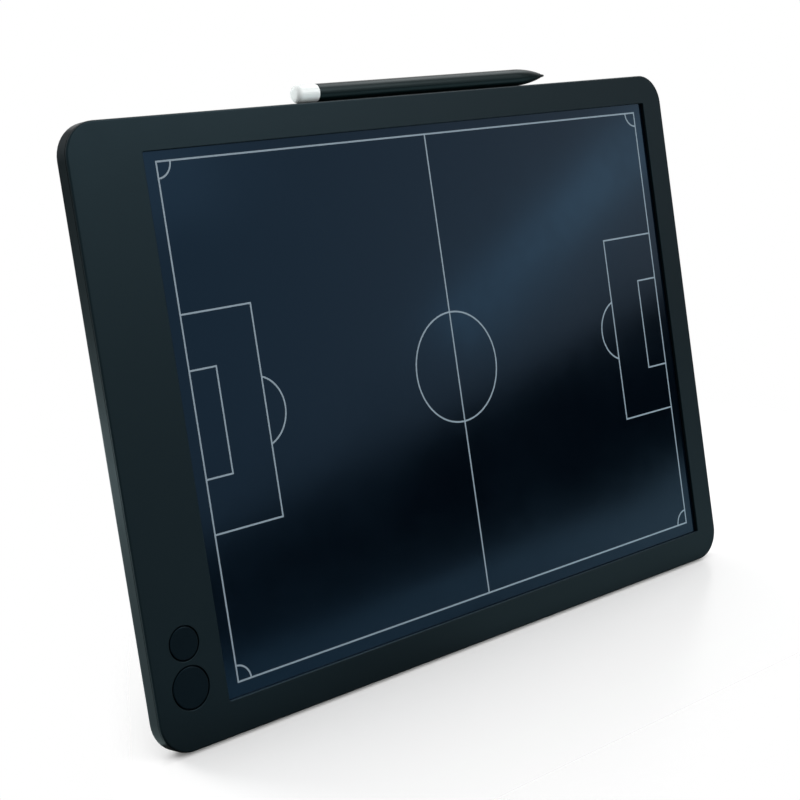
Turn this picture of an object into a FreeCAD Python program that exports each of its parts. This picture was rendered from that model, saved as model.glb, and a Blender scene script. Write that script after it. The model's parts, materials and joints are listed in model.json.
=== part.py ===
import FreeCAD, Part
import collections
import math
import os

# Tactics board: a writing tablet printed with a football pitch, standing on a fold-out leg.
# Lengths are in millimetres and angles in degrees. The board is drawn lying flat, screen up:
# u runs to the right, v up the board and w out of the screen, from the centre of the pitch
# on the film's face. At the end the whole board is stood up, leaning back, on the floor.

# Stance
lean_angle = 12.2
leg_spread_angle = 4.3

# Printed pitch
pitch_length = 300.0
pitch_width = 217.7
line_width = 0.75
line_height = 0.1
centre_circle_radius = 25.9
penalty_depth = 36.2
penalty_width = 92.2
goal_depth = 13.8
goal_width = 45.5
arc_radius = 15.5
arc_bulge = 10.2
corner_arc_radius = 6.9

# Window and case, seen from the front
print_margin_side = 6.8
print_margin_top = 4.4
print_margin_bottom = 6.2
window_corner_radius = 0.8
band_left = 35.2
rim_right = 14.2
rim_top = 14.2
rim_bottom = 14.9
case_corner_radius = 14.5

# Layers from the front face to the back, which add up to the board's thickness
bezel_wall = 1.5
tape_thickness = 0.2
film_thickness = 0.6
backing_thickness = 1.5
backing_gap = 0.6
pocket_wall = 1.4
pocket_clearance = 0.4
leg_thickness = 3.0

# Case shells
cover_wall = 1.8
side_wall = 2.0
rim_lip = 1.2
seam_gap = 0.3
skirt_wall = 1.4
skirt_depth = 1.8
fit_clearance = 0.15
front_edge_radius = 0.8
rear_edge_radius = 2.4
window_edge_radius = 0.3
film_lap = 4.0
film_corner_radius = 1.5
tape_inset = 0.6
rib_wall = 1.2
rib_shares = (-0.46, -0.345, -0.23, 0.18, 0.305, 0.45)
rib_length_share = 0.9

# Case screws
case_head_radius = 2.0
case_head_height = 1.2
case_shank_radius = 1.05
case_screw_length = 5.0
case_recess_depth = 1.5
case_seat_wall = 1.2
case_pad_wall = 1.3
case_boss_wall = 1.45
row_screw_shares = (0.05, 0.3, 0.7, 0.95)
left_screw_share = 0.62
right_screw_share = 0.5

# Any screw: what its head and its hole have in common
cross_width_share = 0.3
cross_length_share = 1.3
cross_depth_share = 0.55
head_edge_share = 0.4
hole_clearance = 0.25
hole_end_gap = 0.4

# Buttons and their switches
erase_radius = 8.8
lock_radius = 7.0
button_gap = 2.8
button_clearance = 0.4
button_edge_radius = 0.5
flange_lip_share = 0.36
flange_thickness = 0.8
flange_play = 0.2
button_stem_radius = 2.4
button_travel = 0.5
switch_size = 6.0
switch_base = 0.3
switch_stem_radius = 1.3
switch_stem_clearance = 0.2
switch_stem_insert = 0.4
switch_stem_rise = 0.6

# Control board
board_setback = 3.9
board_margin = 2.2
board_thickness = 1.0
board_corner_radius = 1.0
board_rear_gap = 0.3
board_head_radius = 1.6
board_head_height = 0.8
board_shank_radius = 0.75
board_screw_length = 3.2
board_boss_wall = 1.4
board_boss_inset = 0.4
part_gap = 1.5
part_offset = 5.2
chip_size = 6.0
chip_height = 1.1
inductor_size = 5.0
inductor_height = 1.9
capacitor_length = 4.2
capacitor_width = 3.0
capacitor_height = 1.8
connector_length = 12.0
connector_width = 4.0
connector_height = 1.5
connector_inset = 3.0
tail_width = 9.0
tail_thickness = 0.2
tail_run = 0.6
pad_length = 3.5

# Coin cell bay
cell_radius = 10.0
cell_thickness = 3.2
cell_step = 0.25
cell_cap_radius = 8.8
cell_play = 0.2
cell_clearance = 0.4
cup_wall = 1.2
contact_thickness = 0.3
contact_width = 3.0
contact_offset = 5.0
contact_slot_clearance = 0.5
contact_touch_gap = 0.05
contact_end_gap = 0.5
contact_reach_share = 0.5
door_thickness = 1.5
door_width = 24.0
door_length = 34.0
door_corner_radius = 3.0
door_clearance = 0.2
door_edge_radius = 0.3
bay_ledge = 1.0
bay_rim = 1.6
door_head_radius = 1.8
door_head_height = 0.8
door_recess_depth = 0.9
door_shank_radius = 0.85
door_screw_length = 4.0
door_screw_inset = 2.5
door_boss_wall = 1.3
door_thread_clearance = 0.15

# Fold-out leg on the back
hinge_height = 195.0
leg_width = 90.0
leg_corner_radius = 12.0
leg_edge_radius = 0.6
leg_side_clearance = 0.5
leg_end_clearance = 0.6
stop_clearance = 0.3
foot_thickness = 3.0
pin_radius = 0.8
pin_clearance = 0.05
pin_press_clearance = 0.01
pin_engagement = 4.0
pin_end_gap = 0.3
hinge_boss_wall = 1.7
scoop_radius = 11.0
scoop_depth_share = 0.55
scoop_rise = 14.0

# Stylus and the magnets that hold it on the top edge
stylus_length = 160.0
stylus_radius = 4.0
stylus_offset = 9.0
stylus_seat_gap = 0.3
stylus_seam_gap = 0.25
cap_length = 12.0
cap_edge_radius = 2.2
cap_spigot_radius = 2.7
cap_spigot_length = 6.0
taper_length = 17.0
taper_end_radius = 1.25
taper_bow = 0.55
nib_length = 3.2
nib_radius = 1.0
nib_tip_radius = 0.55
nib_shank_radius = 0.7
nib_shank_length = 6.0
keeper_length = 80.0
keeper_radius = 2.6
keeper_clearance = 0.1
magnet_length = 24.0
magnet_depth = 3.0
magnet_height = 3.0
magnet_spacing = 56.0

# Cuts run past the faces that they leave by this much
cut_overrun = 2.0
match_tolerance = 0.001

U_AXIS = FreeCAD.Vector(1, 0, 0)
W_AXIS = FreeCAD.Vector(0, 0, 1)
Rect = collections.namedtuple("Rect", "u_low u_high v_low v_high")
Place = collections.namedtuple("Place", "u v")


# Shapes used by several pieces
def grown(rect, by):
    """A rectangle with every side moved outwards."""
    return Rect(rect.u_low - by, rect.u_high + by, rect.v_low - by, rect.v_high + by)


def centred(place, u_size, v_size):
    """A rectangle of the given size about a place."""
    return Rect(place.u - u_size / 2, place.u + u_size / 2, place.v - v_size / 2, place.v + v_size / 2)


def block(rect, w_low, w_high):
    """A box over a rectangle."""
    corner = FreeCAD.Vector(rect.u_low, rect.v_low, w_low)
    return Part.makeBox(rect.u_high - rect.u_low, rect.v_high - rect.v_low, w_high - w_low, corner)


def upright_edges(solid):
    """The edges that run along w."""
    boxes = [(edge, edge.BoundBox) for edge in solid.Edges]
    return [edge for edge, box in boxes if max(box.XLength, box.YLength) < match_tolerance]


def level_edges(solid, w):
    """The edges that lie at one height."""
    boxes = [(edge, edge.BoundBox) for edge in solid.Edges]
    return [edge for edge, box in boxes if max(abs(box.ZMin - w), abs(box.ZMax - w)) < match_tolerance]


def plate(rect, radius, w_low, w_high):
    """A box with rounded upright corners."""
    solid = block(rect, w_low, w_high)
    return solid.makeFillet(radius, upright_edges(solid))


def rod(place, radius, w_low, w_high):
    """A round bar along w."""
    return Part.makeCylinder(radius, w_high - w_low, FreeCAD.Vector(place.u, place.v, w_low), W_AXIS)


def axle(radius, u_low, u_high, v, w):
    """A round bar along u."""
    return Part.makeCylinder(radius, u_high - u_low, FreeCAD.Vector(u_low, v, w), U_AXIS)


def profile(points, u_low, u_high):
    """A solid with the given side view of (v, w) points, between two values of u."""
    corners = [FreeCAD.Vector(u_low, v, w) for v, w in points]
    face = Part.Face(Part.makePolygon(corners + corners[:1]))
    return face.extrude(FreeCAD.Vector(u_high - u_low, 0, 0))


def section(points, v_low, v_high):
    """A solid with the given end view of (u, w) points, between two values of v."""
    corners = [FreeCAD.Vector(u, v_low, w) for u, w in points]
    face = Part.Face(Part.makePolygon(corners + corners[:1]))
    return face.extrude(FreeCAD.Vector(0, v_high - v_low, 0))


def turned(edges, v, w):
    """A solid of revolution about a line along u, from edges that start and end on it."""
    face = Part.Face(Part.Wire(edges))
    return face.revolve(FreeCAD.Vector(0, v, w), U_AXIS, 360)


def joined(solids):
    """Solids fused into one."""
    return solids[0].fuse(solids[1:]).removeSplitter()


def line_edge(start, end):
    """A straight edge between two points of a stylus outline."""
    return Part.LineSegment(start, end).toShape()


def screw(place, w_seat, head_radius, head_height, shank_radius, length):
    """A cross-head screw driven in from the back, with its head under w_seat."""
    w_head = w_seat - head_height
    head = rod(place, head_radius, w_head, w_seat)
    head = head.makeFillet(head_height * head_edge_share, level_edges(head, w_head))
    solid = joined([head, rod(place, shank_radius, w_seat, w_seat + length)])
    arm_length = head_radius * cross_length_share
    arm_width = head_radius * cross_width_share
    w_cross = w_head + head_height * cross_depth_share
    for u_size, v_size in ((arm_length, arm_width), (arm_width, arm_length)):
        solid = solid.cut(block(centred(place, u_size, v_size), w_head - cut_overrun, w_cross))
    return solid


# Levels through the board
w_inner = tape_thickness
w_front = w_inner + bezel_wall
w_film_rear = -film_thickness
w_backing_rear = w_film_rear - backing_thickness
w_pocket_inner = w_backing_rear - backing_gap
w_pocket = w_pocket_inner - pocket_wall
w_back = w_pocket - pocket_clearance - leg_thickness
w_cover_inner = w_back + cover_wall
w_cover_core = w_back + cover_wall / 2
w_tray_top = w_front - rim_lip - seam_gap
w_middle = (w_front + w_back) / 2
w_case_seat = w_back + case_recess_depth
w_case_pad = w_case_seat + case_seat_wall

# Outlines seen from the front
pitch_rect = Rect(-pitch_length / 2, pitch_length / 2, -pitch_width / 2, pitch_width / 2)
window_rect = Rect(
    pitch_rect.u_low - print_margin_side,
    pitch_rect.u_high + print_margin_side,
    pitch_rect.v_low - print_margin_bottom,
    pitch_rect.v_high + print_margin_top,
)
film_rect = grown(window_rect, film_lap)
case_rect = Rect(
    window_rect.u_low - band_left,
    window_rect.u_high + rim_right,
    window_rect.v_low - rim_bottom,
    window_rect.v_high + rim_top,
)
case_width = case_rect.u_high - case_rect.u_low
case_height = case_rect.v_high - case_rect.v_low
u_band = (case_rect.u_low + window_rect.u_low) / 2
u_case = (case_rect.u_low + case_rect.u_high) / 2

# Case screw places: a row along the top, one along the bottom and one at each side
case_boss_radius = case_shank_radius + case_boss_wall
case_pad_radius = case_head_radius + hole_clearance + case_pad_wall
v_top_row = (film_rect.v_high + case_rect.v_high - side_wall) / 2
v_bottom_row = (film_rect.v_low + case_rect.v_low + side_wall) / 2
case_screw_places = [
    Place(case_rect.u_low + share * case_width, v_row)
    for v_row in (v_top_row, v_bottom_row)
    for share in row_screw_shares
]
u_left_screw = case_rect.u_low + side_wall + fit_clearance + skirt_wall + case_boss_radius
u_right_screw = (film_rect.u_high + case_rect.u_high - side_wall) / 2
case_screw_places.append(Place(u_left_screw, case_rect.v_low + left_screw_share * case_height))
case_screw_places.append(Place(u_right_screw, case_rect.v_low + right_screw_share * case_height))

# Buttons stand over the control board, which starts above the lowest screws
flange_lip = button_gap * flange_lip_share
board_half_width = erase_radius + flange_lip + board_margin
v_board_low = v_bottom_row + case_pad_radius + board_setback
erase_place = Place(u_band, v_board_low + board_half_width)
lock_place = Place(u_band, erase_place.v + erase_radius + button_gap + lock_radius)

# Parts on the control board, in two columns above the lock button
board_boss_radius = board_shank_radius + board_boss_wall
v_parts = lock_place.v + lock_radius + flange_lip
chip_place = Place(u_band - part_offset, v_parts + part_gap + chip_size / 2)
inductor_place = Place(u_band - part_offset, chip_place.v + (chip_size + inductor_size) / 2 + part_gap)
u_board_boss = u_band + board_half_width - board_boss_inset - board_boss_radius
high_boss_place = Place(u_board_boss, v_parts + board_boss_radius)
low_boss_place = Place(2 * u_band - u_board_boss, v_board_low + board_boss_inset + board_boss_radius)
board_screw_places = [low_boss_place, high_boss_place]
connector_place = Place(
    u_band + board_half_width - connector_inset - connector_width / 2,
    high_boss_place.v + board_boss_radius + part_gap + connector_length / 2,
)
capacitor_place = Place(
    (inductor_place.u + inductor_size / 2 + connector_place.u - connector_width / 2) / 2,
    connector_place.v,
)
v_left_column = inductor_place.v + inductor_size / 2
v_right_column = connector_place.v + connector_length / 2
v_board_high = max(v_left_column, v_right_column) + part_gap + pad_length
board_rect = Rect(u_band - board_half_width, u_band + board_half_width, v_board_low, v_board_high)
w_board_rear = w_cover_inner + board_head_height + board_rear_gap
w_board_front = w_board_rear + board_thickness
switch_well = switch_stem_insert + button_travel + switch_stem_clearance
switch_height = switch_well + switch_base

# Coin cell bay above the control board
cell_place = Place(u_band, v_board_high + contact_end_gap + bay_rim + door_clearance + door_length / 2)
door_rect = centred(cell_place, door_width, door_length)
w_door_seat = w_back + door_thickness
w_ledge = w_door_seat + bay_ledge
w_cell = w_door_seat + cell_play
w_cell_front = w_cell + cell_thickness
w_cup_floor = w_cell_front + contact_thickness
w_cup_top = w_cup_floor + cup_wall
cup_radius = cell_radius + cell_clearance
door_screw_reach = door_length / 2 - door_screw_inset
door_screw_places = [Place(u_band, cell_place.v + side * door_screw_reach) for side in (-1, 1)]

# Leg: how high its hinge is over the floor, and how far it reaches when folded
lean = math.radians(lean_angle)
spread = math.radians(leg_spread_angle)
open_angle = lean_angle + leg_spread_angle
opened = math.radians(open_angle)
v_hinge = case_rect.v_low + hinge_height
w_hinge = w_back + leg_thickness / 2
edge_lift = rear_edge_radius * (math.cos(lean) + math.sin(lean) - 1)
hinge_over_floor = hinge_height * math.cos(lean) + (w_hinge - w_back) * math.sin(lean) - edge_lift
leg_reach = (hinge_over_floor + leg_thickness / 2 * math.sin(spread)) / math.cos(spread)
heel_reach = leg_thickness / 2 * (math.cos(opened) + math.sin(opened))
leg_rect = Rect(
    u_case - leg_width / 2,
    u_case + leg_width / 2,
    v_hinge - leg_reach,
    v_hinge + leg_thickness / 2,
)
pocket_rect = Rect(
    leg_rect.u_low - leg_side_clearance,
    leg_rect.u_high + leg_side_clearance,
    leg_rect.v_low - leg_end_clearance,
    v_hinge + heel_reach + stop_clearance,
)

# Stylus, lying along the middle of the top edge
stylus_left = stylus_offset - stylus_length / 2
stylus_right = stylus_offset + stylus_length / 2
v_stylus = case_rect.v_high + stylus_seat_gap + stylus_radius


def flap(rect, radius, w_low, w_high):
    """A box with its two lower corners rounded."""
    solid = block(rect, w_low, w_high)
    v_middle = (rect.v_low + rect.v_high) / 2
    low_edges = [edge for edge in upright_edges(solid) if edge.BoundBox.YMax < v_middle]
    return solid.makeFillet(radius, low_edges)


def make_pitch_markings():
    """The pitch lines as one thin print on the film's face."""

    def stroke(u_start, u_end, v_start, v_end):
        rect = Rect(min(u_start, u_end), max(u_start, u_end), min(v_start, v_end), max(v_start, v_end))
        return block(grown(rect, line_width / 2), 0, line_height)

    def ring(u, v, radius):
        place = Place(u, v)
        hole = rod(place, radius - line_width / 2, 0, line_height)
        return rod(place, radius + line_width / 2, 0, line_height).cut(hole)

    def box(side, depth, width):
        u_goal = side * pitch_length / 2
        u_edge = u_goal - side * depth
        return [
            stroke(u_edge, u_edge, -width / 2, width / 2),
            stroke(u_goal, u_edge, width / 2, width / 2),
            stroke(u_goal, u_edge, -width / 2, -width / 2),
        ]

    left, right, low, high = pitch_rect
    strokes = [stroke(u, u, low, high) for u in (left, 0, right)]
    strokes += [stroke(left, right, v, v) for v in (low, high)]
    strokes.append(ring(0, 0, centre_circle_radius))
    for side in (-1, 1):
        strokes += box(side, penalty_depth, penalty_width)
        strokes += box(side, goal_depth, goal_width)
        u_edge = side * (pitch_length / 2 - penalty_depth)
        u_arc = u_edge + side * (arc_radius - arc_bulge)
        inside = stroke(u_edge, side * pitch_length / 2, -penalty_width / 2, penalty_width / 2)
        strokes.append(ring(u_arc, 0, arc_radius).cut(inside))
        for v_corner in (low, high):
            corner = ring(side * pitch_length / 2, v_corner, corner_arc_radius)
            strokes.append(corner.common(block(pitch_rect, 0, line_height)))
    return joined(strokes)


def make_film_tape():
    """The adhesive frame that holds the film's border to the bezel."""
    hole_rect = grown(window_rect, tape_inset)
    hole = plate(hole_rect, window_corner_radius, -cut_overrun, tape_thickness + cut_overrun)
    return plate(film_rect, film_corner_radius, 0, tape_thickness).cut(hole)


def make_front_bezel():
    """Front plate with the window, button holes, locating skirt and screw bosses."""
    face = plate(case_rect, case_corner_radius, w_inner, w_front)
    face = face.makeFillet(front_edge_radius, level_edges(face, w_front))
    wall_inset = side_wall + fit_clearance
    skirt_rect = grown(case_rect, -wall_inset)
    skirt_radius = case_corner_radius - wall_inset
    w_rebate = w_front - rim_lip
    inside = plate(skirt_rect, skirt_radius, w_inner, w_rebate)
    face = face.cut(plate(case_rect, case_corner_radius, w_inner, w_rebate).cut(inside))
    window = plate(window_rect, window_corner_radius, w_inner - cut_overrun, w_front + cut_overrun)
    face = face.cut(window)
    for place, radius in ((erase_place, erase_radius), (lock_place, lock_radius)):
        hole_radius = radius + button_clearance
        face = face.cut(rod(place, hole_radius, w_inner - cut_overrun, w_front + cut_overrun))
    flat = grown(case_rect, -front_edge_radius - match_tolerance)
    inner_edges = [
        edge
        for edge in level_edges(face, w_front)
        if edge.BoundBox.XMin > flat.u_low
        and edge.BoundBox.XMax < flat.u_high
        and edge.BoundBox.YMin > flat.v_low
        and edge.BoundBox.YMax < flat.v_high
    ]
    face = face.makeFillet(window_edge_radius, inner_edges)

    w_skirt = w_inner - skirt_depth
    w_overlap = (w_inner + w_rebate) / 2
    outer = plate(skirt_rect, skirt_radius, w_skirt, w_overlap)
    hollow = plate(grown(skirt_rect, -skirt_wall), skirt_radius - skirt_wall, w_skirt - cut_overrun, w_front)
    solids = [face, outer.cut(hollow)]
    solids += [rod(place, case_boss_radius, w_case_pad, w_overlap) for place in case_screw_places]
    solids += [rod(place, board_boss_radius, w_board_front, w_overlap) for place in board_screw_places]
    bezel = joined(solids)
    for place in case_screw_places:
        w_end = w_case_seat + case_screw_length + hole_end_gap
        bezel = bezel.cut(rod(place, case_shank_radius, w_case_pad - cut_overrun, w_end))
    for place in board_screw_places:
        w_end = w_board_rear + board_screw_length + hole_end_gap
        bezel = bezel.cut(rod(place, board_shank_radius, w_board_front - cut_overrun, w_end))
    return bezel


def make_rear_cover():
    """Tray with the leg pocket, the coin cell bay, stiffening ribs and screw pads."""
    tray = plate(case_rect, case_corner_radius, w_back, w_tray_top)
    tray = tray.makeFillet(rear_edge_radius, level_edges(tray, w_back))
    cavity_rect = grown(case_rect, -side_wall)
    cavity = plate(cavity_rect, case_corner_radius - side_wall, w_cover_inner, w_tray_top + cut_overrun)
    shell = tray.cut(cavity)

    raised = [block(grown(pocket_rect, pocket_wall), w_cover_core, w_pocket_inner)]
    boss_reach = pin_engagement + pin_end_gap
    hinge_boss_radius = pin_radius + hinge_boss_wall
    hinge_boss = Rect(
        pocket_rect.u_low - boss_reach,
        pocket_rect.u_high + boss_reach,
        v_hinge - hinge_boss_radius,
        v_hinge + hinge_boss_radius,
    )
    raised.append(block(hinge_boss, w_cover_core, w_pocket_inner))
    window_width = window_rect.u_high - window_rect.u_low
    window_height = window_rect.v_high - window_rect.v_low
    v_window = (window_rect.v_low + window_rect.v_high) / 2
    for share in rib_shares:
        rib = centred(Place(share * window_width, v_window), rib_wall, window_height * rib_length_share)
        raised.append(block(rib, w_cover_core, w_backing_rear))
    v_cross_rib = (pocket_rect.v_high + window_rect.v_high) / 2
    cross_rib = Rect(
        rib_shares[0] * window_width,
        rib_shares[-1] * window_width,
        v_cross_rib - rib_wall / 2,
        v_cross_rib + rib_wall / 2,
    )
    raised.append(block(cross_rib, w_cover_core, w_backing_rear))
    raised += [rod(place, case_pad_radius, w_cover_core, w_case_pad) for place in case_screw_places]

    raised.append(block(grown(door_rect, door_clearance + bay_rim), w_cover_core, w_ledge))
    raised.append(rod(cell_place, cup_radius + cup_wall, w_cover_core, w_cup_top))
    door_boss_radius = door_shank_radius + door_boss_wall
    w_door_screw_seat = w_back + door_recess_depth
    w_door_screw_end = w_door_screw_seat + door_screw_length + hole_end_gap
    w_door_boss = w_door_screw_end + hole_end_gap
    raised += [rod(place, door_boss_radius, w_cover_core, w_door_boss) for place in door_screw_places]
    cover = joined([shell] + raised).common(tray)

    pocket_radius = leg_corner_radius + leg_side_clearance
    cuts = [flap(pocket_rect, pocket_radius, w_back - cut_overrun, w_pocket)]
    pin_hole_radius = pin_radius + pin_press_clearance
    u_pin_end = pocket_rect.u_high + boss_reach + cut_overrun
    cuts.append(axle(pin_hole_radius, pocket_rect.u_low - pin_engagement, u_pin_end, v_hinge, w_hinge))
    for u_side in (pocket_rect.u_low, pocket_rect.u_high):
        scoop = Place(u_side, pocket_rect.v_low + pocket_radius + scoop_rise)
        w_scoop = w_back + cover_wall * scoop_depth_share
        cuts.append(rod(scoop, scoop_radius, w_back - cut_overrun, w_scoop))
    for place in case_screw_places:
        cuts.append(rod(place, case_head_radius + hole_clearance, w_back - cut_overrun, w_case_seat))
        cuts.append(rod(place, case_shank_radius + hole_clearance, w_back, w_case_pad + cut_overrun))

    opening = grown(door_rect, door_clearance)
    cuts.append(plate(opening, door_corner_radius + door_clearance, w_back - cut_overrun, w_door_seat))
    cuts.append(rod(cell_place, cup_radius, w_back, w_cup_floor))
    for place in door_screw_places:
        cuts.append(rod(place, door_shank_radius + door_thread_clearance, w_back, w_door_screw_end))
    slot_width = contact_width + 2 * contact_slot_clearance
    for side in (-1, 1):
        slot = Rect(
            cell_place.u + side * contact_offset - slot_width / 2,
            cell_place.u + side * contact_offset + slot_width / 2,
            cell_place.v - cup_radius - cup_wall - cut_overrun,
            cell_place.v,
        )
        cuts.append(block(slot, w_ledge, w_cup_floor))
    for cut in cuts:
        cover = cover.cut(cut)
    return cover


def make_button(place, radius):
    """A round push button with a retaining flange and a stem that meets its switch."""
    w_flange = w_inner - flange_play
    w_flange_rear = w_flange - flange_thickness
    w_stem = w_board_front + switch_height + switch_stem_rise
    cap = rod(place, radius, w_flange, w_front)
    cap = cap.makeFillet(button_edge_radius, level_edges(cap, w_front))
    flange = rod(place, radius + flange_lip, w_flange_rear, w_flange)
    stem = rod(place, button_stem_radius, w_stem, w_flange_rear)
    return joined([cap, flange, stem])


def make_switch(place):
    """A low switch body with a well for its stem."""
    body = block(centred(place, switch_size, switch_size), w_board_front, w_board_front + switch_height)
    well_radius = switch_stem_radius + switch_stem_clearance
    w_top = w_board_front + switch_height
    return body.cut(rod(place, well_radius, w_top - switch_well, w_top + cut_overrun))


def make_switch_stem(place):
    """The stem that the button pushes into its switch."""
    w_top = w_board_front + switch_height
    return rod(place, switch_stem_radius, w_top - switch_stem_insert, w_top + switch_stem_rise)


def make_board_part(place, u_size, v_size, height):
    """A component soldered to the control board's front."""
    return block(centred(place, u_size, v_size), w_board_front, w_board_front + height)


def make_control_board():
    """The circuit board with its two screw holes."""
    board = plate(board_rect, board_corner_radius, w_board_rear, w_board_front)
    for place in board_screw_places:
        hole_radius = board_shank_radius + hole_clearance
        board = board.cut(rod(place, hole_radius, w_board_rear - cut_overrun, w_board_front + cut_overrun))
    return board


def make_film_tail():
    """The film's flexible tail, stepping down from its left edge to the connector."""
    u_start = film_rect.u_low
    u_end = connector_place.u + connector_width / 2
    w_start = w_film_rear / 2
    w_end = w_board_front + connector_height / 2
    line = [(u_start, w_start), (u_start - tail_run, w_start), (u_end + tail_run, w_end), (u_end, w_end)]
    upper = [(u, w + tail_thickness / 2) for u, w in line]
    lower = [(u, w - tail_thickness / 2) for u, w in reversed(line)]
    return section(upper + lower, connector_place.v - tail_width / 2, connector_place.v + tail_width / 2)


def make_coin_cell():
    """A coin cell: wide positive can towards the door, smaller negative cap in front."""
    w_step = w_cell_front - cell_step
    can = rod(cell_place, cell_radius, w_cell, w_step)
    return joined([can, rod(cell_place, cell_cap_radius, w_step, w_cell_front)])


def make_positive_contact():
    """An upright tab against the cell's side, with a foot on the control board."""
    u_centre = cell_place.u - contact_offset
    near_side = contact_offset - contact_width / 2
    v_touch = cell_place.v - math.sqrt(cell_radius**2 - near_side**2) - contact_touch_gap
    v_foot = v_board_high - pad_length
    w_foot = w_board_front + contact_thickness
    points = [
        (v_touch, w_ledge),
        (v_touch, w_foot),
        (v_foot, w_foot),
        (v_foot, w_board_front),
        (v_touch - contact_thickness, w_board_front),
        (v_touch - contact_thickness, w_ledge),
    ]
    return profile(points, u_centre - contact_width / 2, u_centre + contact_width / 2)


def make_negative_contact():
    """A strip across the cell's front face that steps down to a foot on the control board."""
    u_centre = cell_place.u + contact_offset
    v_head = cell_place.v + cell_radius * contact_reach_share
    v_foot = v_board_high - pad_length
    v_step = v_board_high
    points = [
        (v_head, w_cell_front),
        (v_head, w_cup_floor),
        (v_step - contact_thickness, w_cup_floor),
        (v_step - contact_thickness, w_board_front + contact_thickness),
        (v_foot, w_board_front + contact_thickness),
        (v_foot, w_board_front),
        (v_step, w_board_front),
        (v_step, w_cell_front),
    ]
    return profile(points, u_centre - contact_width / 2, u_centre + contact_width / 2)


def make_battery_door():
    """A flush door over the coin cell with recessed screw holes."""
    door = plate(door_rect, door_corner_radius, w_back, w_door_seat)
    door = door.makeFillet(door_edge_radius, level_edges(door, w_back))
    w_seat = w_back + door_recess_depth
    for place in door_screw_places:
        door = door.cut(rod(place, door_head_radius + hole_clearance, w_back - cut_overrun, w_seat))
        hole_radius = door_shank_radius + hole_clearance
        door = door.cut(rod(place, hole_radius, w_back, w_door_seat + cut_overrun))
    return door


def folded_point(height, w_offset):
    """A point (v, w) of the folded leg that is at a height over the floor when the leg is open."""
    v_offset = -(hinge_over_floor - height - w_offset * math.sin(spread)) / math.cos(spread)
    return v_hinge + v_offset, w_hinge + w_offset


def unfolded(solid):
    """A piece of the leg turned from its pocket to its open stop."""
    solid.rotate(FreeCAD.Vector(u_case, v_hinge, w_hinge), U_AXIS, open_angle)
    return solid


def make_stand_leg():
    """The leg: rounded inside its heel, square outside it so that the pocket's end stops it."""
    half = leg_thickness / 2
    inner_end = folded_point(foot_thickness, half)
    outer_end = folded_point(foot_thickness, -half)
    side_view = [outer_end, inner_end, (v_hinge, w_hinge + half), (v_hinge, w_hinge - half)]
    bar = profile(side_view, leg_rect.u_low, leg_rect.u_high)
    knuckle = axle(half, leg_rect.u_low, leg_rect.u_high, v_hinge, w_hinge)
    heel_rect = Rect(leg_rect.u_low, leg_rect.u_high, v_hinge, v_hinge + half)
    heel = block(heel_rect, w_hinge - half, w_hinge)
    leg = joined([bar, knuckle, heel])
    leg = leg.common(flap(leg_rect, leg_corner_radius, w_back - cut_overrun, w_pocket))
    v_heel = v_hinge + half - match_tolerance
    rim = [edge for edge in level_edges(leg, w_back) if edge.BoundBox.YMax < v_heel]
    leg = leg.makeFillet(leg_edge_radius, rim)
    bore = grown(leg_rect, cut_overrun)
    pin_hole = axle(pin_radius + pin_clearance, bore.u_low, bore.u_high, v_hinge, w_hinge)
    return unfolded(leg.cut(pin_hole))


def make_stand_foot():
    """The rubber foot under the leg, flat on the floor when the leg is open."""
    half = leg_thickness / 2
    points = [
        folded_point(0, -half),
        folded_point(0, half),
        folded_point(foot_thickness, half),
        folded_point(foot_thickness, -half),
    ]
    straight = grown(leg_rect, -leg_corner_radius)
    return unfolded(profile(points, straight.u_low, straight.u_high))


def make_hinge_pin():
    """The steel pin that the leg turns on, held in the cover at both ends."""
    u_low = pocket_rect.u_low - pin_engagement
    u_high = pocket_rect.u_high + pin_engagement
    return axle(pin_radius, u_low, u_high, v_hinge, w_hinge)


def stylus_point(u, radius):
    """A point of the stylus outline."""
    return FreeCAD.Vector(u, v_stylus + radius, w_middle)


def stylus_outline(points):
    """Straight edges through stylus points."""
    return [line_edge(start, end) for start, end in zip(points[:-1], points[1:])]


def make_stylus_barrel():
    """The barrel: straight, then a slightly bowed taper, bored for its keeper, cap and nib."""
    u_cap = stylus_left + cap_length
    u_taper = stylus_right - nib_length - taper_length
    u_nib = stylus_right - nib_length
    start = stylus_point(u_taper, stylus_radius)
    end = stylus_point(u_nib, taper_end_radius)
    bow = stylus_point((u_taper + u_nib) / 2, (stylus_radius + taper_end_radius) / 2 + taper_bow)
    edges = stylus_outline([stylus_point(u_cap, 0), stylus_point(u_cap, stylus_radius), start])
    edges.append(Part.Arc(start, bow, end).toShape())
    edges += stylus_outline([end, stylus_point(u_nib, 0), stylus_point(u_cap, 0)])
    barrel = turned(edges, v_stylus, w_middle)
    u_bore_end = u_cap + cap_spigot_length + keeper_length + keeper_clearance
    bore_radius = keeper_radius + keeper_clearance
    barrel = barrel.cut(axle(bore_radius, u_cap - cut_overrun, u_bore_end, v_stylus, w_middle))
    nib_bore = axle(nib_shank_radius, u_nib - nib_shank_length, u_nib + cut_overrun, v_stylus, w_middle)
    return barrel.cut(nib_bore)


def make_stylus_cap():
    """The pale end cap, with a spigot in the barrel."""
    u_seam = stylus_left + cap_length
    u_face = u_seam - stylus_seam_gap
    body = axle(stylus_radius, stylus_left, u_face, v_stylus, w_middle)
    end_edges = [edge for edge in body.Edges if edge.BoundBox.XMax < stylus_left + match_tolerance]
    body = body.makeFillet(cap_edge_radius, end_edges)
    spigot = axle(cap_spigot_radius, u_face, u_seam + cap_spigot_length, v_stylus, w_middle)
    return joined([body, spigot])


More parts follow.
